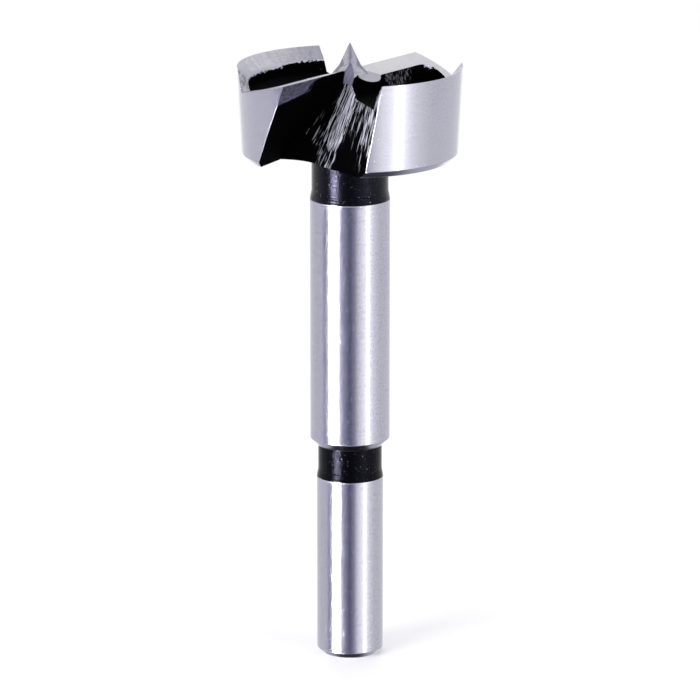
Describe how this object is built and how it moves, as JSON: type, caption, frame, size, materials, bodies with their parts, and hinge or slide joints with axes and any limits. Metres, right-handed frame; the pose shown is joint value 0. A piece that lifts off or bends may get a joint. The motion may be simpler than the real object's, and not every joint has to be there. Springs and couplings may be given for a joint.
{
  "type": "forstner bit",
  "caption": "Forstner bit: a round head with radial cutting edges, rim spurs, a centre point and chip gullets, on a neck and a stepped round shank.",
  "frame": {"origin": "middle of the shank's end face, which the bit stands on", "axes": "+Z along the bit's axis towards the centre point; -Y is the side that the picture shows; the cutting edges lie 53.9 degrees from +X, measured towards +Y, and half a turn from there"},
  "size_m": [0.0318, 0.0306, 0.0889],
  "materials": {
    "tool_steel": "ground bright on the shanks, rim and edges, black heat-treated in the neck, groove, pockets and gullets"
  },
  "bodies": {
    "root": {"forstner_bit": "tool_steel"}
  },
  "joints": []
}
